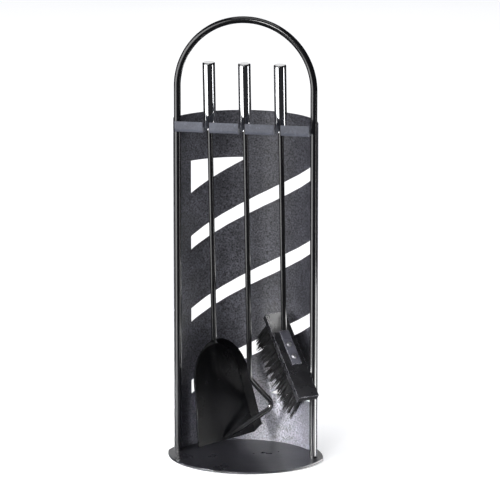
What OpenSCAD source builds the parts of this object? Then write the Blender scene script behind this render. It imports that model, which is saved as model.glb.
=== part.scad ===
// Fireplace tool set: a hoop stand with a curved back panel and a notched rail,
// and a shovel, a poker and a brush that hang in the rail by their handles.
// Millimetres, +Z up, front towards -Y. The origin is on the floor, under the middle of the stand.

/* [Stand] */
// Overall height, to the top of the hoop
stand_h = 650; // [640:1:700]
// Width of the base plate, tip to tip
plate_w = 230; // [226:1:240]
// Depth of the base plate, front to back
plate_depth = 200; // [190:1:210]
// Thickness of the base plate
plate_t = 3; // [2.5:0.5:4]
// Thickness of the foot pads under the plate
pad_t = 1.5; // [1:0.5:3]
// Spacing of the hoop's legs, centre to centre
leg_gauge = 200; // [198:1:204]
// Diameter of the hoop's rod
hoop_d = 10; // [8:0.5:10]

/* [Back panel] */
// Thickness of the curved sheet
panel_t = 1.5; // [1:0.5:1.5]
// Distance of the panel's arc centre in front of the legs
panel_centre = 26.8; // [24:0.2:30]
// Height of the panel's top edge
panel_top = 499; // [480:1:510]
// Half of the angle that the cut-outs span
window_half_angle = 54.5; // [45:0.5:60]
// Vertical height of the sloping slots
slot_h = 21; // [15:1:26]
// Vertical pitch of the sloping slots
slot_pitch = 108; // [100:1:115]
// Rise of the slots per unit of length along the sheet
slot_slope = 0.533; // [0.4:0.01:0.6]

/* [Rail] */
// Height of the shelf that the handles stand on
shelf_z = 484.5; // [470:0.5:488]
// Distance of the rail's front face in front of the legs
rail_front = 27.5; // [24:0.5:32]
// Length of the rail
rail_l = 196; // [194:0.5:198]
// Thickness of the rail's sheet
rail_t = 1.5; // [1.5:0.5:2]
// Spacing of the tools along the rail
tool_pitch = 52; // [48:1:55]
// Width of the slots that the tools hang in
rail_slot_w = 9.6; // [9:0.1:11]

/* [Tools] */
// Backward lean of the hanging tools, in degrees
lean = 4.5; // [4:0.1:5]
// Diameter of the handles
handle_d = 18; // [16:0.5:19]
// Length of the handles
handle_l = 98; // [90:1:100]
// Diameter of the tool rods
rod_d = 8; // [7:0.5:8]

/* [Shovel] */
// Length of the shovel's pan
pan_l = 144; // [135:1:146]
// Width of the pan's floor at its front edge
pan_front_w = 107; // [96:1:108]
// Width of the pan's floor where the rounded end starts
pan_back_w = 88; // [80:1:90]
// Slanted width of the pan's rim
pan_rim = 14.5; // [10:0.5:15]
// Turn of the pan about its rod, in degrees
pan_turn = 51; // [46:1:54]
// Tilt of the pan against its rod, in degrees
pan_tilt = 12.4; // [11:0.1:13]

/* [Poker] */
// Length of the poker below its handle, along the straight part
poker_l = 370.1; // [345:0.1:374]
// Turn of the poker's hook about its rod, in degrees
hook_turn = 35; // [30:1:40]

/* [Brush] */
// Length of the brush block
block_l = 147; // [130:1:148]
// Width of the brush block
block_w = 32; // [28:1:33]
// Thickness of the brush block
block_t = 10; // [8:0.5:12]
// Length of the bristles
bristle_l = 32; // [25:1:34]
// Turn of the brush about its rod, in degrees
brush_turn = 53.5; // [53:0.5:56]
// Angle between the block and its rod, in degrees
brush_tilt = 50; // [48:1:51]

/* [Hidden] */
$fn = 96;

steel = [0.62, 0.62, 0.64];
coat = [0.20, 0.20, 0.22];
black = [0.09, 0.09, 0.10];

plate_z = pad_t;
floor_z = pad_t + plate_t;
half_gauge = leg_gauge / 2;
arch_z = stand_h - hoop_d / 2 - half_gauge;
over = 1;
fit = 0.02;
slice = 0.01;
no_level = 10000;

// The plate is the lens where two equal discs overlap
plate_r = (pow(plate_w / 2, 2) + pow(plate_depth / 2, 2)) / plate_depth;
plate_shift = plate_r - plate_depth / 2;
pad_d = 16;
pad_x = 58;
pad_y = 56;

// Countersunk screws that hold the legs from below
screw_r = 2.5;
screw_head_r = 4.8;
screw_l = 22;
leg_socket_r = 1.5;
leg_socket_h = 1.5;

// The panel's inside touches the backs of the legs
panel_ri = norm([half_gauge, panel_centre]) + hoop_d / 2 + fit;
panel_ro = panel_ri + panel_t;
panel_rm = (panel_ri + panel_ro) / 2;
panel_past_legs = 1;
panel_half_angle = 90 - atan2(panel_centre - panel_past_legs, half_gauge);

// Cut-outs: five sloping bands, the outer two ending in a level edge
window_steps = 8;
cut_reach = 4;
slot_mid_z = 254.7;
upper_edge_rise = 181.3;
upper_level_rise = 174.8;
lower_edge_fall = 188.5;
lower_level_fall = 177.7;
tip_h = 2;
tip_reach = 0.7;
tip_low = 0.7;
tip_high = 0.3;

rail_lip_top = 499;
rail_bend_r = 6;
rail_back = 10;
rail_cut_h = 40;

seat_gap = 0.1;
handle_wall = 1;
cap_edge_r = 1.6;
cap_top = 2.5;
cap_plug = 8;
bush_h = 14;
rod_in_handle = 13;
bend_swell = 0.06;
bend_reach = 0.3;
rod_cut_l = 80;
shovel_rod_l = 323.2;
pan_drop = 466.8;
pan_offset = 24.4;
pan_t = 1.2;
pan_flare = 60;
pan_round = 62;
pan_round_step = 7.5;
pan_front_cut = 45;
hook_first = 39;
hook_first_r = 15;
hook_second = -102;
hook_second_r = 10;
hook_run = 43.5;
hook_end = 49.7;
tip_l = 21;
tip_d = 1.8;

brush_drop = 305.2;
block_above = 38;
face_gap = 1;
brush_rod_l = 297.7;
bracket_w = 14;
bracket_l = 58;
bracket_above = 5;
bracket_t = 2.5;
bracket_side = -1.5;
brush_screw_at = [19, 40];
brush_screw_r = 1.8;
brush_screw_head_r = 4.2;
brush_screw_l = 8;
brush_screw_foot = 0.5;
head_gap = 0.04;
head_top_r = 2.6;
head_h = 1.8;
socket_r = 1.6;
socket_floor = 0.9;
socket_cut_h = 4;
bristle_inset = 2.5;
bristle_lean = 11;

// ---------- stand ----------

module plate_outline(h) {
  intersection() {
    translate([0, plate_shift, 0]) cylinder(r = plate_r, h = h);
    translate([0, -plate_shift, 0]) cylinder(r = plate_r, h = h);
  }
}

module at_legs() {
  for (side = [-1, 1]) translate([side * half_gauge, 0, 0]) children();
}

module base_plate() {
  color(coat) difference() {
    translate([0, 0, plate_z]) plate_outline(plate_t);
    at_legs() translate([0, 0, plate_z]) screw_shape(fit * 2, over);
  }
}

module foot_pads() {
  color(black)
  for (x = [-pad_x, pad_x], y = [-pad_y, pad_y])
    translate([x, y, 0]) cylinder(d = pad_d, h = pad_t);
}

// A countersunk screw pointing up, its head flush with z = 0, grown by a clearance
module screw_shape(gap, below) {
  cone_h = screw_head_r - screw_r;
  cylinder(r1 = screw_head_r + gap, r2 = screw_r + gap, h = cone_h);
  translate([0, 0, -below]) cylinder(r = screw_head_r + gap, h = below);
  cylinder(r = screw_r + gap, h = screw_l + gap);
}

module leg_screws() {
  color(steel) at_legs() translate([0, 0, plate_z]) difference() {
    screw_shape(0, slice);
    translate([0, 0, -over]) cylinder(r = leg_socket_r, h = over + leg_socket_h, $fn = 6);
  }
}

module frame_hoop() {
  color(coat) difference() {
    union() {
      at_legs() translate([0, 0, floor_z]) cylinder(d = hoop_d, h = arch_z - floor_z);
      translate([0, 0, arch_z]) rotate([90, 0, 0])
        rotate_extrude(angle = 180) translate([half_gauge, 0]) circle(d = hoop_d);
    }
    at_legs() translate([0, 0, plate_z]) cylinder(r = screw_r + fit * 2, h = screw_l + over);
  }
}

// ---------- back panel ----------

// Height above the slots' middle of a sloping edge at the angle a
function slope_rise(a) = slot_slope * panel_rm * a * PI / 180;
function on_sheet(a, r, z) = [r * sin(a), r * cos(a) - panel_centre, z];

// A closed cutter that follows the sheet through stations of [angle, lower height, upper height]
module sheet_cut(stations) {
  inner = panel_ri - cut_reach;
  outer = panel_ro + cut_reach;
  last = 4 * (len(stations) - 1);
  polyhedron(
    points = [for (s = stations) each [
      on_sheet(s[0], inner, s[1]), on_sheet(s[0], outer, s[1]),
      on_sheet(s[0], outer, s[2]), on_sheet(s[0], inner, s[2])
    ]],
    faces = concat(
      [[0, 1, 2, 3], [last + 3, last + 2, last + 1, last]],
      [for (i = [0 : 4 : last - 4], k = [0 : 3]) each [
        [i + k, i + 4 + k, i + (k + 1) % 4],
        [i + 4 + k, i + 4 + (k + 1) % 4, i + (k + 1) % 4]
      ]]
    )
  );
}

// Stations from one angle to another, between two edges that each keep below a level
function stations(from, to, low_mid, high_mid, level) = [
  for (i = [0 : window_steps])
    let (a = from + (to - from) * i / window_steps)
    [a, min(level, low_mid + slope_rise(a)), min(level, high_mid + slope_rise(a))]
];

// One of the outer two, as the upper one lies
module outer_window(edge_rise, level_rise) {
  tip_angle = (level_rise - tip_h - edge_rise) / slot_slope / panel_rm * 180 / PI;
  sheet_cut(concat(
    stations(-window_half_angle, tip_angle, edge_rise, no_level, level_rise),
    [[tip_angle + tip_reach, level_rise - tip_low * tip_h, level_rise - tip_high * tip_h]]
  ));
}

module windows() {
  for (k = [-1 : 1]) translate([0, 0, slot_mid_z + k * slot_pitch])
    sheet_cut(stations(-window_half_angle, window_half_angle, -slot_h / 2, slot_h / 2, no_level));
  translate([0, 0, slot_mid_z]) {
    outer_window(upper_edge_rise, upper_level_rise);
    rotate([0, 180, 0]) outer_window(lower_edge_fall, lower_level_fall);
  }
}

module back_panel() {
  color(coat) difference() {
    translate([0, -panel_centre, floor_z]) rotate([0, 0, 90 - panel_half_angle])
      rotate_extrude(angle = 2 * panel_half_angle)
        translate([panel_ri, 0]) square([panel_t, panel_top - floor_z]);
    windows();
  }
}

// ---------- rail ----------

// Cross-section of the rail: x is the distance behind the front face, y is the height
module rail_section() {
  bend_z = shelf_z - rail_t + rail_bend_r;
  translate([0, bend_z]) square([rail_t, rail_lip_top - bend_z]);
  translate([rail_bend_r, bend_z]) intersection() {
    difference() {
      circle(r = rail_bend_r);
      circle(r = rail_bend_r - rail_t);
    }
    rotate(180) square(rail_bend_r + over);
  }
  translate([rail_bend_r, shelf_z - rail_t])
    square([rail_front + rail_back - rail_bend_r, rail_t]);
}

module hanger_rail() {
  color(coat) difference() {
    translate([-rail_l / 2, -rail_front, 0]) rotate([90, 0, 90]) linear_extrude(rail_l) rail_section();
    for (k = [-1 : 1]) translate([k * tool_pitch, 0, shelf_z - rail_cut_h / 2]) {
      cylinder(d = rail_slot_w, h = rail_cut_h);
      translate([-rail_slot_w / 2, -rail_front - over, 0])
        cube([rail_slot_w, rail_front + over, rail_cut_h]);
    }
    at_legs() translate([0, 0, shelf_z - rail_cut_h / 2])
      cylinder(d = hoop_d + fit * 2, h = rail_cut_h);
  }
}

// ---------- parts that the tools share ----------

// Hangs its children at a place along the rail: z up the handle, which starts at the origin
// and stands on the shelf with the front of its lower edge
module hang(place) {
  translate([place * tool_pitch, 0, shelf_z + handle_d / 2 * sin(lean) + seat_gap])
    rotate([lean, 0, 0]) children();
}

module handle_tube() {
  color(steel) difference() {
    cylinder(d = handle_d, h = handle_l - cap_top);
    translate([0, 0, -over]) cylinder(d = handle_d - 2 * handle_wall, h = handle_l + 2 * over);
  }
}

module end_cap() {
  r = handle_d / 2;
  color(steel) translate([0, 0, handle_l - cap_top]) {
    rotate_extrude() union() {
      square([r, cap_top - cap_edge_r]);
      square([r - cap_edge_r, cap_top]);
      translate([r - cap_edge_r, cap_top - cap_edge_r]) intersection() {
        circle(r = cap_edge_r);
        square(cap_edge_r);
      }
    }
    translate([0, 0, -cap_plug]) cylinder(r = r - handle_wall - fit, h = cap_plug);
  }
}

module bush() {
  color(black) difference() {
    cylinder(r = handle_d / 2 - handle_wall - fit, h = bush_h);
    translate([0, 0, -over]) cylinder(r = rod_d / 2 + fit, h = bush_h + 2 * over);
  }
}

// Draws a rod downwards from the origin: each step is [straight length, bend angle, bend radius].
// Each straight reaches a hair into the bends next to it, and a bend is a hair thicker, as a
// pressed bend is. The last straight may end in a drawn-out point.
module rod_run(steps, point_l = 0, i = 0) {
  straight = steps[i][0];
  above = i > 0 ? bend_reach : 0;
  below = i < len(steps) - 1 ? bend_reach : 0;
  translate([0, 0, -straight - below]) cylinder(d = rod_d, h = straight + above + below);
  if (i < len(steps) - 1) translate([0, 0, -straight]) {
    bend = steps[i][1];
    r = steps[i][2];
    side = sign(bend);
    translate([side * r, 0, 0]) rotate([90, 0, 0]) rotate([0, 0, side > 0 ? 180 : bend])
      rotate_extrude(angle = abs(bend)) translate([r, 0]) circle(d = rod_d + bend_swell);
    translate([side * r, 0, 0]) rotate([0, -bend, 0]) translate([-side * r, 0, 0])
      rod_run(steps, point_l, i + 1);
  }
  else if (point_l > 0)
    translate([0, 0, -straight - point_l]) cylinder(d1 = tip_d, d2 = rod_d, h = point_l);
}

// ---------- shovel ----------

module shovel_rod() {
  color(coat) hang(-1) translate([0, 0, rod_in_handle]) rod_run([[shovel_rod_l + rod_in_handle]]);
}

// The pan's outline in its floor's plane, grown outwards: straight sides and a rounded end
module pan_outline(grow, reach = 0) {
  back = pan_back_w / 2 + grow;
  front = pan_front_w / 2 + grow;
  start = pan_l - pan_round;
  lift = reach * (front - back) / start;
  polygon(concat(
    [[-front - lift, -reach], [front + lift, -reach]],
    [for (a = [0 : pan_round_step : 180]) [back * cos(a), start + (pan_round + grow) * sin(a)]]
  ));
}

module pan_shape(from, grow_from, to, grow_to, reach) {
  hull() {
    translate([0, 0, from]) linear_extrude(slice) pan_outline(grow_from, reach);
    translate([0, 0, to - slice]) linear_extrude(slice) pan_outline(grow_to, reach);
  }
}

// Puts its children in the pan's frame: x across, y up the pan, z out of its hollow side
module in_pan() {
  translate([0, 0, -pan_drop]) rotate([0, 0, pan_turn]) translate([0, -pan_offset, 0])
    rotate([90 - pan_tilt, 0, 0]) children();
}

module shovel_pan() {
  rim_h = pan_rim * sin(pan_flare);
  flare = 1 / tan(pan_flare);
  wall = pan_t / sin(pan_flare);
  color(black) hang(-1) difference() {
    in_pan() difference() {
      pan_shape(0, 0, rim_h, rim_h * flare, 0);
      pan_shape(pan_t, pan_t * flare - wall, rim_h + over, (rim_h + over) * flare - wall, 2 * over);
      rotate([-pan_front_cut, 0, 0])
        translate([-pan_front_w, -pan_l, -pan_l]) cube(2 * pan_l * [1, 0.5, 1]);
    }
    translate([0, 0, -shovel_rod_l]) cylinder(r = rod_d / 2 + fit, h = rod_cut_l);
  }
}

// ---------- poker ----------

module poker_rod() {
  color(coat) hang(0) rotate([0, 0, hook_turn]) translate([0, 0, rod_in_handle])
    rod_run([
      [poker_l + rod_in_handle, hook_first, hook_first_r],
      [hook_run, hook_second, hook_second_r],
      [hook_end]
    ], tip_l);
}

// ---------- brush ----------

// Puts its children in the block's frame: x across, y down the block, z out of its face
module in_brush() {
  translate([0, 0, -brush_drop]) rotate([0, 0, -brush_turn]) rotate([0, -brush_tilt, 0])
    translate([-face_gap, 0, 0]) rotate([0, 90, 0]) rotate([0, 0, -90]) children();
}

module brush_rod() {
  color(coat) hang(1) translate([0, 0, rod_in_handle]) rod_run([[brush_rod_l + rod_in_handle]]);
}

module brush_block() {
  color(black) hang(1) difference() {
    in_brush() difference() {
      translate([-block_w / 2, -block_above, -block_t]) cube([block_w, block_l, block_t]);
      for (y = brush_screw_at) translate([bracket_side, y, -brush_screw_l])
        cylinder(r = brush_screw_r + fit, h = brush_screw_l + over);
    }
    translate([0, 0, -brush_rod_l - fit]) cylinder(r = rod_d / 2 + fit, h = rod_cut_l);
  }
}

module brush_bracket() {
  color(coat) hang(1) difference() {
    in_brush() difference() {
      translate([bracket_side - bracket_w / 2, -bracket_above, fit])
        cube([bracket_w, bracket_l, bracket_t]);
      for (y = brush_screw_at) translate([bracket_side, y, -over])
        cylinder(r = brush_screw_r + fit, h = bracket_t + 2 * over);
    }
    translate([0, 0, -brush_rod_l - fit]) cylinder(r = rod_d / 2 + fit, h = rod_cut_l);
  }
}

module brush_screws() {
  color(steel) hang(1) in_brush()
  for (y = brush_screw_at) translate([bracket_side, y, 0]) difference() {
    union() {
      translate([0, 0, brush_screw_foot - brush_screw_l])
        cylinder(r = brush_screw_r, h = brush_screw_l + bracket_t);
      translate([0, 0, bracket_t + head_gap])
        cylinder(r1 = brush_screw_head_r, r2 = head_top_r, h = head_h);
    }
    translate([0, 0, bracket_t + socket_floor]) cylinder(r = socket_r, h = socket_cut_h, $fn = 6);
  }
}

// A plain closed stand-in for the tufts: it widens and leans to one side
module brush_bristles() {
  top = block_w / 2 - bristle_inset;
  color(black) hang(1) in_brush()
  translate([0, block_l - block_above - bristle_inset, -block_t]) rotate([90, 0, 0])
    linear_extrude(block_l - 2 * bristle_inset)
      polygon([[-top, 0], [top, 0], [top + bristle_lean, -bristle_l], [-top, -bristle_l]]);
}

base_plate();
foot_pads();
leg_screws();
frame_hoop();
back_panel();
hanger_rail();
hang(-1) handle_tube();  // shovel_handle
hang(-1) end_cap();  // shovel_end_cap
hang(-1) bush();  // shovel_bush
shovel_rod();
shovel_pan();
hang(0) handle_tube();  // poker_handle
hang(0) end_cap();  // poker_end_cap
hang(0) bush();  // poker_bush
poker_rod();
hang(1) handle_tube();  // brush_handle
hang(1) end_cap();  // brush_end_cap
hang(1) bush();  // brush_bush
brush_rod();
brush_bracket();
brush_block();
brush_bristles();
brush_screws();
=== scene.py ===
# Fireplace tool set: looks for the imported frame. Metres, +Z up, front towards -Y.
# Sizes that come from the CAD model are written in millimetres and scaled by MM.
import math
import random

import bmesh
import bpy
from mathutils import Matrix, Vector


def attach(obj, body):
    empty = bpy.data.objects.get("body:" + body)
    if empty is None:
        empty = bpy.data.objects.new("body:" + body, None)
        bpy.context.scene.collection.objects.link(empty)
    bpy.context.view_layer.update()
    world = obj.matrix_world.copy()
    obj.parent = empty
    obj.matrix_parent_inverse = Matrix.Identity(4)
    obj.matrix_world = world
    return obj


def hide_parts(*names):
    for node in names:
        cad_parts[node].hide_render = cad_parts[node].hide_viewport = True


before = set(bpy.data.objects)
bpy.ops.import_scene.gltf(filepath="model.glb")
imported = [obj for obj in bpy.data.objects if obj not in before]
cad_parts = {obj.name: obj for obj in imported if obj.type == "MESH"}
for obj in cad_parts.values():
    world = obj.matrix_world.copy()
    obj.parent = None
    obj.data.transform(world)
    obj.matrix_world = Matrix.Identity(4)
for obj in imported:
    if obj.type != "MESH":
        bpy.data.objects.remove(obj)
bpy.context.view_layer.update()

MM = 0.001
SEED = 11

# ---------- places shared with the CAD model ----------

# lengths in millimetres, turns and tilts in degrees
SHELF_Z, HANDLE_RADIUS, SEAT_GAP = 484.5, 9, 0.1
PAN_DROP, PAN_SET_BACK, PAN_TURN, PAN_TILT = 466.8, 24.4, 51, 12.4
BLOCK_DROP, BLOCK_OFFSET, BRUSH_TURN, BRUSH_TILT = 305.2, 1, 53.5, 50
HOOK_TURN = 35

LEAN = math.radians(4.5)
HANG_Z = (SHELF_Z + HANDLE_RADIUS * math.sin(LEAN) + SEAT_GAP) * MM
TOOL_PITCH = 52 * MM
ROD_RADIUS = 4 * MM


def rotation(axis, degrees):
    return Matrix.Rotation(math.radians(degrees), 4, axis)


def shift(x, y, z):
    """A move given in millimetres."""
    return Matrix.Translation((x * MM, y * MM, z * MM))


def hang(place):
    """Where a tool hangs: the origin is at the handle's lower end, z up the handle."""
    return Matrix.Translation((place * TOOL_PITCH, 0, HANG_Z)) @ Matrix.Rotation(LEAN, 4, "X")


def pan_place():
    """The shovel pan's frame: x across, y up the pan, z out of its hollow side."""
    return (
        hang(-1)
        @ shift(0, 0, -PAN_DROP)
        @ rotation("Z", PAN_TURN)
        @ shift(0, -PAN_SET_BACK, 0)
        @ rotation("X", 90 - PAN_TILT)
    )


def block_place():
    """The brush block's frame: x across, y down the block, z out of its upper face."""
    return (
        hang(1)
        @ shift(0, 0, -BLOCK_DROP)
        @ rotation("Z", -BRUSH_TURN)
        @ rotation("Y", -BRUSH_TILT)
        @ shift(-BLOCK_OFFSET, 0, 0)
        @ rotation("Y", 90)
        @ rotation("Z", -90)
    )


# ---------- materials ----------


class Shader:
    """A small helper that builds one node material around a Principled shader."""

    def __init__(self, name):
        self.material = bpy.data.materials.new(name)
        self.material.use_nodes = True
        self.tree = self.material.node_tree
        self.shader = self.tree.nodes["Principled BSDF"]
        coords = self.tree.nodes.new("ShaderNodeTexCoord")
        self.coords = coords.outputs["Object"]

    def node(self, kind, **values):
        made = self.tree.nodes.new(kind)
        for key, value in values.items():
            setattr(made, key, value)
        return made

    def link(self, output, target):
        self.tree.links.new(output, target)

    def set(self, **values):
        for key, value in values.items():
            self.shader.inputs[key.replace("_", " ")].default_value = value

    def noise(self, scale, detail=2.0, roughness=0.5, stretch=(1, 1, 1)):
        mapping = self.node("ShaderNodeMapping")
        mapping.inputs["Scale"].default_value = stretch
        self.link(self.coords, mapping.inputs["Vector"])
        made = self.node("ShaderNodeTexNoise")
        made.inputs["Scale"].default_value = scale
        made.inputs["Detail"].default_value = detail
        made.inputs["Roughness"].default_value = roughness
        self.link(mapping.outputs["Vector"], made.inputs["Vector"])
        return made.outputs["Fac"]

    def ramp(self, value, stops):
        made = self.node("ShaderNodeValToRGB")
        elements = made.color_ramp.elements
        while len(elements) < len(stops):
            elements.new(0.5)
        for element, (at, colour) in zip(elements, stops):
            element.position = at
            element.color = (*colour, 1)
        self.link(value, made.inputs["Fac"])
        return made.outputs["Color"]

    def tones(self, value, dark, light):
        """Two colours that follow the middle of a noise."""
        return self.ramp(value, [(0.3, dark), (0.7, light)])

    def spread(self, value, low, high):
        """Stretches the middle of a noise over low to high."""
        made = self.node("ShaderNodeMapRange")
        made.inputs["From Min"].default_value = 0.3
        made.inputs["From Max"].default_value = 0.7
        made.inputs["To Min"].default_value = low
        made.inputs["To Max"].default_value = high
        self.link(value, made.inputs["Value"])
        return made.outputs["Result"]

    def mix(self, a, b, factor, mode):
        made = self.node("ShaderNodeMix", data_type="RGBA", blend_type=mode)
        self.link(a, made.inputs["A"])
        self.link(b, made.inputs["B"])
        made.inputs["Factor"].default_value = factor
        return made.outputs["Result"]

    def colour(self, value):
        self.link(value, self.shader.inputs["Base Color"])

    def roughness(self, value):
        self.link(value, self.shader.inputs["Roughness"])

    def bump(self, *heights):
        """Stacks bumps, each given as (height, strength, distance in metres)."""
        normal = None
        for height, strength, distance in heights:
            made = self.node("ShaderNodeBump")
            made.inputs["Strength"].default_value = strength
            made.inputs["Distance"].default_value = distance
            self.link(height, made.inputs["Height"])
            if normal is not None:
                self.link(normal, made.inputs["Normal"])
            normal = made.outputs["Normal"]
        self.link(normal, self.shader.inputs["Normal"])


def shade(colour, factor):
    return tuple(channel * factor for channel in colour)


def enamel(
    name, base, rough, grain, grain_depth, contrast=0.25, coat=0.0, mottle=0.15, specular=0.5
):
    """Painted or powder-coated sheet and rod: fine grain, cloudy tone, and worn specks."""
    s = Shader(name)
    s.set(Metallic=0.0, Coat_Weight=coat, Coat_Roughness=0.09, Specular_IOR_Level=specular)
    fine = s.noise(grain, 3.0, 0.65)
    cloud = s.noise(16.0, 4.0, 0.6)
    specks = s.noise(grain * 0.45, 2.0, 0.5)
    tone = s.tones(cloud, shade(base, 1 - contrast), shade(base, 1 + contrast))
    dust = s.ramp(specks, [(0.62, (0.0, 0.0, 0.0)), (0.78, shade(base, 0.9))])
    low, high = 1 - mottle, 1 + mottle
    grit = s.ramp(fine, [(0.35, (low, low, low)), (0.65, (high, high, high))])
    s.colour(s.mix(s.mix(tone, grit, 1.0, "MULTIPLY"), dust, 0.8, "ADD"))
    s.roughness(s.spread(cloud, rough - 0.05, rough + 0.06))
    s.bump((fine, 0.5, grain_depth), (specks, 0.35, grain_depth * 1.6))
    return s.material


def polished_steel(name, tone):
    """Drawn stainless tube: fine lines around it and faint handling marks."""
    s = Shader(name)
    s.set(Metallic=1.0)
    lines = s.noise(300.0, 3.0, 0.6, stretch=(0.35, 0.35, 9.0))
    marks = s.noise(60.0, 4.0, 0.7)
    low, high = shade((0.66, 0.67, 0.69), tone), shade((0.86, 0.86, 0.87), tone)
    s.colour(s.tones(lines, low, high))
    s.roughness(s.spread(marks, 0.06, 0.09))
    s.bump((lines, 0.01, 0.000002))
    return s.material


def zinc(name):
    """Zinc-plated screw: dull grey metal with cloudy patches."""
    s = Shader(name)
    s.set(Metallic=1.0)
    grain = s.noise(900.0, 3.0, 0.6)
    cloud = s.noise(160.0, 3.0, 0.6)
    s.colour(s.tones(cloud, (0.24, 0.24, 0.26), (0.46, 0.46, 0.48)))
    s.roughness(s.spread(cloud, 0.36, 0.52))
    s.bump((grain, 0.2, 0.00004))
    return s.material


def moulded(name, base, rough, grain, depth):
    """Moulded plastic or rubber with a fine grain."""
    s = Shader(name)
    fine = s.noise(grain, 3.0, 0.6)
    cloud = s.noise(35.0, 3.0, 0.6)
    s.colour(s.tones(cloud, shade(base, 0.75), shade(base, 1.3)))
    s.roughness(s.spread(cloud, rough - 0.06, rough + 0.08))
    s.bump((fine, 0.4, depth))
    return s.material


def fibre(name):
    """Coarse synthetic bristle: black, streaked along its length."""
    s = Shader(name)
    s.set(Roughness=0.7, Specular_IOR_Level=0.08)
    streak = s.noise(420.0, 2.0, 0.5)
    tuft = s.noise(90.0, 2.0, 0.5)
    dark = s.ramp(streak, [(0.35, (0.002, 0.002, 0.002)), (0.72, (0.010, 0.010, 0.011))])
    worn = s.ramp(tuft, [(0.5, (0.0, 0.0, 0.0)), (0.8, (0.006, 0.006, 0.006))])
    s.colour(s.mix(dark, worn, 1.0, "ADD"))
    s.bump((streak, 0.3, 0.00005))
    return s.material


STAND_COAT = enamel(
    "stand_powder_coat", (0.044, 0.044, 0.053), 0.42, 430.0, 0.00014,
    contrast=0.35, mottle=0.9, specular=0.4,
)
# the rail's coat is a lighter copy of the stand's powder coat: painted light on the rail
RAIL_LIT_COAT = enamel("rail_powder_coat_painted_light", (0.066, 0.070, 0.088), 0.44, 520.0, 0.00010)
ROD_COAT = enamel("stand_rod_coat", (0.0035, 0.0035, 0.0042), 0.17, 900.0, 0.000008, coat=0.6)
TOOL_COAT = enamel("tool_enamel", (0.0035, 0.0035, 0.0040), 0.17, 900.0, 0.000008, coat=0.5)
PAN_COAT = enamel("pan_enamel", (0.0016, 0.0016, 0.0020), 0.25, 700.0, 0.00001, specular=0.16)
# the plate's coat is a darker copy of the stand's powder coat: painted shade on the base plate
PLATE_SHADED_COAT = enamel(
    "plate_powder_coat_painted_shade", (0.014, 0.014, 0.017), 0.30, 430.0, 0.00010,
    contrast=0.35, mottle=0.7,
)
STEEL = polished_steel("polished_stainless", 1.0)
CAP_STEEL = polished_steel("end_cap_stainless", 0.3)
ZINC = zinc("zinc_plate")
RUBBER = moulded("pad_rubber", (0.02, 0.02, 0.02), 0.8, 500.0, 0.0002)
# the strap's enamel is a lighter copy of the tools' black enamel: painted light on the strap
STRAP_LIT_COAT = enamel("strap_enamel_painted_light", (0.050, 0.050, 0.062), 0.26, 700.0, 0.00003, coat=0.6)
BUSH = moulded("bush_plastic", (0.015, 0.015, 0.015), 0.55, 700.0, 0.0001)
BLOCK = moulded("block_plastic", (0.006, 0.006, 0.007), 0.26, 650.0, 0.00004)
# near-white rounded edges of the block and the strap: a painted highlight along the edges
BLOCK_EDGE_HIGHLIGHT = moulded("block_painted_edge_highlight", (0.62, 0.62, 0.68), 0.34, 650.0, 0.00006)
STRAP_EDGE_HIGHLIGHT = moulded("strap_painted_edge_highlight", (0.62, 0.62, 0.66), 0.30, 650.0, 0.00004)
FIBRE = fibre("bristle_fibre")


def paint(mesh, material):
    mesh.materials.clear()
    mesh.materials.append(material)


CAD_LOOKS = {
    "frame_hoop": ROD_COAT,
    "back_panel": STAND_COAT,
    "hanger_rail": RAIL_LIT_COAT,
    "base_plate": PLATE_SHADED_COAT,
    "foot_pads": RUBBER,
    "leg_screws": ZINC,
    "shovel_pan": PAN_COAT,
    "brush_bracket": TOOL_COAT,
    "brush_block": BLOCK,
    "brush_screws": ZINC,
    "brush_bristles": FIBRE,
}
for tool in ("shovel", "poker", "brush"):
    CAD_LOOKS[tool + "_handle"] = STEEL
    CAD_LOOKS[tool + "_end_cap"] = CAP_STEEL
    CAD_LOOKS[tool + "_bush"] = BUSH
    CAD_LOOKS[tool + "_rod"] = TOOL_COAT
for node, material in CAD_LOOKS.items():
    paint(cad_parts[node].data, material)


# ---------- pieces ----------

JOIN = 1e-6  # corners nearer than this are one corner


def add_object(name, data):
    made = bpy.data.objects.new(name, data)
    bpy.context.scene.collection.objects.link(made)
    return made


def finished(bm, mesh):
    """Writes the built shape into its mesh, smooth shaded."""
    bm.to_mesh(mesh)
    bm.free()
    mesh.shade_smooth()
    return mesh


def even_normals(piece):
    """Shades the large faces flat and lets only the rounded edges turn the light."""
    normals = piece.modifiers.new("normals", "WEIGHTED_NORMAL")
    normals.keep_sharp = False
    return normals


def add_mesh(name, mesh, material, body, node):
    """Puts a finished mesh on a body, with its finish, in place of a CAD node."""
    piece = add_object(name, mesh)
    paint(mesh, material)
    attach(piece, body)
    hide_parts(node)
    return piece


# faces that meet flatter than the first are merged, and edges above the second are rounded
FLAT, SHARP = math.radians(0.5), math.radians(35)


def rounded_copy(node, name, width, material, body, edge_highlight=None):
    """A CAD node with its sharp edges softened, and with its rounded edges in a second material
    if one is given: a painted highlight.
    """
    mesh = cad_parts[node].data.copy()
    bm = bmesh.new()
    bm.from_mesh(mesh)
    bmesh.ops.remove_doubles(bm, verts=bm.verts, dist=JOIN)
    bmesh.ops.dissolve_limit(bm, angle_limit=FLAT, verts=bm.verts, edges=bm.edges)
    sharp = [e for e in bm.edges if e.is_manifold and e.calc_face_angle() > SHARP]
    softened = bmesh.ops.bevel(
        bm, geom=sharp, offset=width, segments=2, profile=0.6, affect="EDGES", clamp_overlap=True
    )
    bm.faces.index_update()
    edges = [face.index for face in softened["faces"]]
    piece = add_mesh(name, finished(bm, mesh), material, body, node)
    # the rounded edges take the second material: a painted highlight
    if edge_highlight:
        mesh.materials.append(edge_highlight)
        for index in edges:
            mesh.polygons[index].material_index = 1
    even_normals(piece).weight = 80


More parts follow.
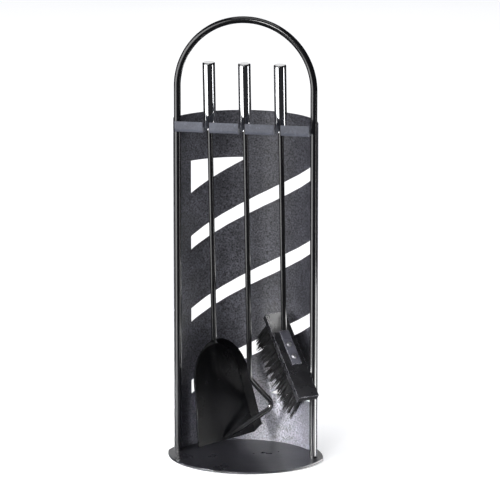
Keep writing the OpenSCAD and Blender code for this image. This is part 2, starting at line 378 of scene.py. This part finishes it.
BRISTLE_LENGTH = 34.5 * MM
BLOCK_LOW_Z = -10 * MM
ROOT_DEPTH = 0.6 * MM
FIRST_ROW, LAST_ROW = -25 * MM, 106.5 * MM
OUTER_COLUMN = 13.2 * MM
STAGGER = 0.5 * MM
FAR_SIDE_SHORT = 30 * MM
TUFT_ROWS = 24
TUFT_COLUMNS = 5
TUFT_RADIUS = 1.9 * MM
STRANDS = 20


def strand(bm, start, tip, bend, radius, turn):
    """One bristle: a three-sided tapered tube with four joints, bowed by bend."""
    sections = 4
    rings = []
    for i in range(sections + 1):
        t = i / sections
        centre = start.lerp(tip, t) + bend * (4 * t * (1 - t))
        width = radius * (1 - 0.75 * t ** 3)
        ring = []
        for k in range(3):
            a = turn + k * math.tau / 3
            ring.append(bm.verts.new(centre + Vector((math.cos(a), math.sin(a), 0)) * width))
        rings.append(ring)
    for low, high in zip(rings, rings[1:]):
        for k in range(3):
            bm.faces.new((low[k], low[(k + 1) % 3], high[(k + 1) % 3], high[k]))
    bm.faces.new(rings[0][::-1])
    bm.faces.new(rings[-1])


def make_bristles():
    """Tufts in rows under the block, splayed towards its front side and worn into spikes."""
    rng = random.Random(SEED)
    bm = bmesh.new()
    for row in range(TUFT_ROWS):
        v = row / (TUFT_ROWS - 1)
        for column in range(TUFT_COLUMNS):
            u = column / (TUFT_COLUMNS - 1)
            end = LAST_ROW - (1 - u) * FAR_SIDE_SHORT
            y = FIRST_ROW + (end - FIRST_ROW) * v + (STAGGER if column % 2 else -STAGGER)
            root = Vector((OUTER_COLUMN * (2 * u - 1), y, BLOCK_LOW_Z + ROOT_DEPTH))
            splay_x = (0.05 + 0.72 * u) * (0.88 + 0.62 * v - 1.2 * v * v)
            splay_y = 0.42 - 0.5 * v + 0.42 * v * v
            length = BRISTLE_LENGTH * rng.uniform(0.9, 1.04)
            tuft_x = splay_x + rng.gauss(0, 0.05)
            tuft_y = splay_y + rng.gauss(0, 0.06)
            for _ in range(STRANDS):
                angle = rng.uniform(0, math.tau)
                reach = TUFT_RADIUS * math.sqrt(rng.random())
                spot = Vector((math.cos(angle) * reach, math.sin(angle) * reach, 0))
                out = Vector((
                    tuft_x + spot.x / TUFT_RADIUS * 0.02 + rng.gauss(0, 0.030),
                    tuft_y + spot.y / TUFT_RADIUS * 0.02 + rng.gauss(0, 0.030),
                    -1,
                ))
                long = length * rng.uniform(0.84, 1.05)
                tip = root + spot + out.normalized() * long
                bend = Vector((rng.gauss(-0.5, 0.5), rng.gauss(-0.2, 0.5), 0)) * MM
                strand(bm, root + spot, tip, bend, rng.uniform(0.5, 0.72) * MM, angle)
    bm.transform(block_place())
    bm.normal_update()
    mesh = finished(bm, bpy.data.meshes.new("bristle_tufts"))
    add_mesh("bristle_tufts", mesh, FIBRE, "brush", "brush_bristles")


# the pan's sizes, in millimetres but for the step, which is in degrees
PAN_STEP = 5
FRONT_HALF, BACK_HALF = 53.5, 44
SIDE_LENGTH, END_LENGTH = 82, 62
SIDE_STEPS = 8
RIM_HEIGHT = 12.557
RIM_GROW = 7.25
RIM_SLOPE = math.radians(60)
FLOOR_GROW = 0.9
FILLET = 3.0
FILLET_STEPS = 6
SHEET = 1.2


def pan_ring(grow, height):
    """The pan's outline, grown outwards: one side, the rounded end, and the other side."""
    front, back, end = FRONT_HALF + grow, BACK_HALF + grow, END_LENGTH + grow
    side = []
    for i in range(SIDE_STEPS + 1):
        t = i / SIDE_STEPS
        side.append((front + (back - front) * t, max(SIDE_LENGTH * t, height * (1 - t)), height))
    bow = []
    for a in range(PAN_STEP, 180, PAN_STEP):
        r = math.radians(a)
        bow.append((back * math.cos(r), SIDE_LENGTH + end * math.sin(r), height))
    return side + bow + [(-x, y, z) for x, y, z in side[::-1]]


def make_pan():
    """The pressed scoop: flat floor, a soft bend, a flared rim whose front ends slope back."""
    levels = [(RIM_GROW, RIM_HEIGHT), (RIM_GROW * 0.62, RIM_HEIGHT * 0.62)]
    for i in range(FILLET_STEPS + 1):
        a = RIM_SLOPE * (1 - i / FILLET_STEPS)
        run = FILLET * (math.sin(RIM_SLOPE) - math.sin(a))
        levels.append((FLOOR_GROW - run, FILLET * (1 - math.cos(a))))
    levels += [(-10.0, 0.0), (-22.0, 0.0), (-36.0, 0.0)]
    bm = bmesh.new()
    rings = [[bm.verts.new(p) for p in pan_ring(g, z)] for g, z in levels]
    for outer, inner in zip(rings, rings[1:]):
        for a, b, c, d in zip(outer, outer[1:], inner[1:], inner):
            bm.faces.new((a, b, c, d))
    count = len(rings[-1])
    for i in range(count // 2):
        a, b, c, d = (rings[-1][k] for k in (i, i + 1, count - 2 - i, count - 1 - i))
        face = [v for n, v in enumerate((a, b, c, d)) if v not in (a, b, c, d)[:n]]
        if len(face) > 2:
            bm.faces.new(face)
    bmesh.ops.recalc_face_normals(bm, faces=bm.faces)
    if sum(f.normal.z * f.calc_area() for f in bm.faces) < 0:
        bmesh.ops.reverse_faces(bm, faces=bm.faces)
    bm.transform(pan_place() @ Matrix.Scale(MM, 4))
    mesh = finished(bm, bpy.data.meshes.new("pan_scoop"))
    piece = add_mesh("pan_scoop", mesh, PAN_COAT, "shovel", "shovel_pan")
    sheet = piece.modifiers.new("sheet", "SOLIDIFY")
    sheet.thickness = SHEET * MM
    sheet.offset = 1.0
    sheet.use_even_offset = True
    edge = piece.modifiers.new("edge", "BEVEL")
    edge.width = 0.3 * MM
    edge.segments = 2
    edge.limit_method = "ANGLE"
    edge.angle_limit = math.radians(50)
    even_normals(piece)


def tube(name, points, radius, material, body, node, taper=None):
    """A smooth round rod swept along a path, closed at both ends."""
    curve = bpy.data.curves.new(name, "CURVE")
    curve.dimensions = "3D"
    curve.bevel_depth = radius
    curve.bevel_resolution = 10
    curve.use_fill_caps = True
    spline = curve.splines.new("POLY")
    spline.points.add(len(points) - 1)
    for i, (knot, place) in enumerate(zip(spline.points, points)):
        knot.co = (*place, 1)
        knot.radius = taper[i] if taper else 1.0
    swept = add_object(name + "_path", curve)
    graph = bpy.context.evaluated_depsgraph_get()
    mesh = bpy.data.meshes.new_from_object(swept.evaluated_get(graph))
    bpy.data.objects.remove(swept)
    bm = bmesh.new()
    bm.from_mesh(mesh)
    bmesh.ops.remove_doubles(bm, verts=bm.verts, dist=JOIN)
    bmesh.ops.recalc_face_normals(bm, faces=bm.faces)
    even_normals(add_mesh(name, finished(bm, mesh), material, body, node))


FOOT_Z, SPRING_Z, LEG_X = 4.5 * MM, 545 * MM, 100 * MM
HOOP_RADIUS = 5 * MM
ARCH_STEPS = 96


def make_hoop():
    """Two legs and a half circle, as the CAD hoop runs."""
    points = [Vector((-LEG_X, 0, FOOT_Z))]
    for i in range(ARCH_STEPS + 1):
        a = math.pi * (1 - i / ARCH_STEPS)
        points.append(Vector((LEG_X * math.cos(a), 0, SPRING_Z + LEG_X * math.sin(a))))
    points.append(Vector((LEG_X, 0, FOOT_Z)))
    tube("hoop_tube", points, HOOP_RADIUS, ROD_COAT, "stand", "frame_hoop")


ROD_TOP = 13 * MM
POKER_RUNS = ((383.1, 39, 15), (43.5, -102, 10), (49.7, 0, 0))  # length, bend, bend radius
POINT_LENGTH = 21
POINT_TAPER = 0.225
BEND_STEPS = 16


def make_poker():
    """The poker's rod: down, out, and back in a drawn point."""
    turn, place = Matrix.Identity(3), Vector((0, 0, ROD_TOP))
    points = [place.copy()]
    for length, bend, radius in POKER_RUNS:
        place = place + turn @ Vector((0, 0, -length * MM))
        points.append(place.copy())
        if bend:
            arm = Vector((math.copysign(radius, bend) * MM, 0, 0))
            for i in range(1, BEND_STEPS + 1):
                swing = Matrix.Rotation(math.radians(-bend * i / BEND_STEPS), 3, "Y")
                points.append(place + turn @ (arm + swing @ -arm))
            place = points[-1].copy()
            turn = turn @ Matrix.Rotation(math.radians(-bend), 3, "Y")
    points.append(place + turn @ Vector((0, 0, -POINT_LENGTH * MM)))
    hung = hang(0) @ rotation("Z", HOOK_TURN)
    points = [hung @ p for p in points]
    taper = [1.0] * (len(points) - 1) + [POINT_TAPER]
    tube("poker_bar", points, ROD_RADIUS, TOOL_COAT, "poker", "poker_rod", taper)


make_bristles()
make_pan()
make_hoop()
make_poker()
# the block's and the strap's rounded edges carry a painted highlight
rounded_copy(
    "brush_block", "brush_block_body", 1.1 * MM, BLOCK, "brush", BLOCK_EDGE_HIGHLIGHT
)
rounded_copy(
    "brush_bracket", "brush_strap", 0.5 * MM, STRAP_LIT_COAT, "brush", STRAP_EDGE_HIGHLIGHT
)
rounded_copy("hanger_rail", "rail_strip", 0.4 * MM, RAIL_LIT_COAT, "stand")
rounded_copy("base_plate", "base_disc", 0.5 * MM, PLATE_SHADED_COAT, "stand")


# ---------- floor, light and camera ----------

FLOOR_HALF = 14


def make_floor():
    """A wide pale floor that glows a little. It isn't reflected and casts no shadow."""
    bm = bmesh.new()
    bmesh.ops.create_grid(bm, x_segments=8, y_segments=8, size=FLOOR_HALF)
    mesh = bpy.data.meshes.new("floor")
    bm.to_mesh(mesh)
    bm.free()
    floor = add_object("floor", mesh)
    s = Shader("pale_floor")
    s.set(Roughness=0.9, Specular_IOR_Level=0.1)
    s.set(Emission_Color=(1, 1, 1, 1), Emission_Strength=0.22)
    cloud = s.noise(1.5, 2.0, 0.5)
    s.colour(s.tones(cloud, (0.90, 0.90, 0.90), (0.93, 0.93, 0.93)))
    mesh.materials.append(s.material)
    floor.visible_glossy = False
    floor.visible_shadow = False


def direction(azimuth, elevation):
    """Azimuth 0 is the front (-Y) and grows towards +X."""
    a, e = math.radians(azimuth), math.radians(elevation)
    return Vector((math.sin(a) * math.cos(e), -math.cos(a) * math.cos(e), math.sin(e)))


def card(name, place, aim, width, height, power, spread=180):
    """An area light at one place that faces another: metres, watts, and degrees of spread."""
    light = bpy.data.lights.new(name, "AREA")
    light.shape = "RECTANGLE"
    light.size = width
    light.size_y = height
    light.energy = power
    light.spread = math.radians(spread)
    lamp = add_object(name, light)
    lamp.location = place
    lamp.rotation_euler = (aim - place).to_track_quat("-Z", "Y").to_euler()
    lamp.visible_camera = False


def softbox(
    name, azimuth, centre_z, distance, width, height, power, aim_z=None, aim_x=0.0, spread=180
):
    """A card on a circle round the object that faces its axis, level unless aim_z is given."""
    place = direction(azimuth, 0) * distance
    place.z = centre_z
    aim = Vector((aim_x, 0, centre_z if aim_z is None else aim_z))
    card(name, place, aim, width, height, power, spread)


BLOCK_CARD_DISTANCE = 0.25


def make_light():
    """Ten cards: broad ones for the sheet and rods, small ones for single bright parts."""
    softbox("key", -46.7, 0.7, 3.0, 2.97, 3.2, 104)
    softbox("front", -2, 1.6, 4.5, 1.0, 1.0, 60, aim_z=0.3)
    softbox("rim_strip", 86, -0.42, 3.0, 0.42, 0.8, 6)
    softbox("low_card", -40, 0.16, 1.3, 0.3, 0.14, 1.1, aim_z=0.04, aim_x=0.08, spread=13)
    softbox("low_front", -4, 0.07, 0.9, 0.4, 0.08, 0.2, aim_z=0.05, aim_x=0.05, spread=11)
    card("floor_card", Vector((0.42, 0.02, -0.01)), Vector((0.36, 0.02, 1)), 0.5, 0.44, 3.0)
    block_top = block_place() @ Vector((0, -0.024, 0))
    above = block_top + direction(98, 66.5) * BLOCK_CARD_DISTANCE
    card("block_card", above, block_top, 0.06, 0.05, 0.018, 32)
    softbox("low_right", 122, -0.2, 1.2, 1.5, 0.4, 12)
    softbox("back_card", 192, 1.7, 4.0, 1.6, 1.0, 9, aim_z=0.5)
    softbox("top", 0, 3.4, 0.6, 2.5, 2.5, 22, aim_z=0.0)


def make_world():
    """White to the eye, soft white as light, and dark in reflections, as black flags give."""
    world = bpy.data.worlds.new("studio")
    bpy.context.scene.world = world
    world.use_nodes = True
    tree = world.node_tree
    tree.nodes.clear()

    def background(strength, colour):
        made = tree.nodes.new("ShaderNodeBackground")
        made.inputs["Color"].default_value = (*colour, 1)
        made.inputs["Strength"].default_value = strength
        return made.outputs["Background"]

    def choose(factor, off, on):
        made = tree.nodes.new("ShaderNodeMixShader")
        tree.links.new(factor, made.inputs["Fac"])
        tree.links.new(off, made.inputs[1])
        tree.links.new(on, made.inputs[2])
        return made.outputs["Shader"]

    path = tree.nodes.new("ShaderNodeLightPath")
    soft = background(0.75, (0.96, 0.97, 1))
    flags = background(0.03, (0.9, 0.92, 1))
    lit = choose(path.outputs["Is Glossy Ray"], soft, flags)
    seen = choose(path.outputs["Is Camera Ray"], lit, background(1.0, (1, 1, 1)))
    out = tree.nodes.new("ShaderNodeOutputWorld")
    tree.links.new(seen, out.inputs["Surface"])


LOOK_AT = Vector((0.00647, 0.00137, 0.30891))
EYE_AZIMUTH, EYE_ELEVATION, EYE_DISTANCE = 12, 12.43, 6.0


def make_camera():
    camera = bpy.data.cameras.new("camera")
    camera.sensor_width = 36
    camera.lens = 299.5
    camera.clip_end = 100
    eye = add_object("camera", camera)
    eye.location = LOOK_AT + direction(EYE_AZIMUTH, EYE_ELEVATION) * EYE_DISTANCE
    eye.rotation_euler = (LOOK_AT - eye.location).to_track_quat("-Z", "Y").to_euler()
    bpy.context.scene.camera = eye


make_floor()
make_light()
make_world()
make_camera()
bpy.context.scene.view_settings.view_transform = "Standard"
